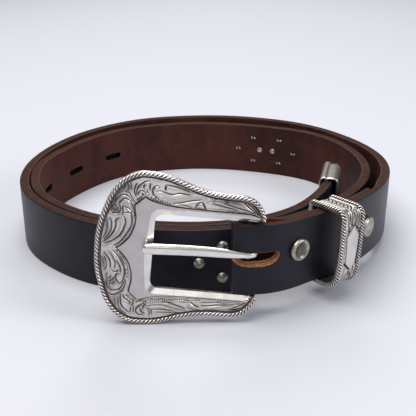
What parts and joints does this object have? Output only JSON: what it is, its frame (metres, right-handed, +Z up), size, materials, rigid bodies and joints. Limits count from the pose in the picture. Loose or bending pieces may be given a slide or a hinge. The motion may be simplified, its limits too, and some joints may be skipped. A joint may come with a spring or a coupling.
{
  "type": "western belt",
  "caption": "Coiled western belt standing on its edge: black leather strap, engraved silver ranger buckle with rope edge, prong, keeper loop and metal strap tip.",
  "frame": {"origin": "middle of the belt's bounding box, on the surface that the strap's lower edge and the buckle's rim stand on", "axes": "+Z up, +Y away from the buckle towards the far side of the coil, +X from the buckle's round end towards the bar"},
  "size_m": [0.1594, 0.1768, 0.0524],
  "materials": {
    "black_leather": "smooth black grain side, reddish brown flesh side and raw brown edges",
    "antique_silver": "bright engraved silver plate with darkened recesses",
    "dull_nickel": "worn nickel plate"
  },
  "bodies": {
    "belt": {"strap": "black_leather", "strap_tip": "antique_silver", "fold_rivet_1": "dull_nickel", "fold_rivet_2": "dull_nickel", "front_stud_1": "dull_nickel", "front_stud_2": "dull_nickel", "front_stud_3": "dull_nickel", "front_stud_4": "dull_nickel", "front_stud_5": "dull_nickel", "front_stud_6": "dull_nickel", "back_stud_1": "dull_nickel", "back_stud_2": "dull_nickel", "back_stud_3": "dull_nickel", "back_stud_4": "dull_nickel", "back_stud_5": "dull_nickel", "back_stud_6": "dull_nickel", "back_post_1": "dull_nickel", "back_post_2": "dull_nickel"},
    "frame": {"buckle_frame": "antique_silver"},
    "prong": {"buckle_prong": "antique_silver"},
    "keeper_loop": {"keeper": "antique_silver"}
  },
  "joints": [
    {"name": "frame_swing", "type": "hinge", "parent": "belt", "child": "frame", "pos_m": [0.01387, -0.07968, 0.02234], "axis": [0.1066, 0.0548, 0.9928], "range_deg": [-8, 45]},
    {"name": "prong_swing", "type": "hinge", "parent": "frame", "child": "prong", "pos_m": [0.01387, -0.07968, 0.02234], "axis": [0.1066, 0.0548, 0.9928], "range_deg": [0, 80]},
    {"name": "keeper_slide", "type": "slide", "parent": "belt", "child": "keeper_loop", "axis": [0.7509, 0.6583, -0.0533], "range_m": [-0.005, 0.005]}
  ]
}
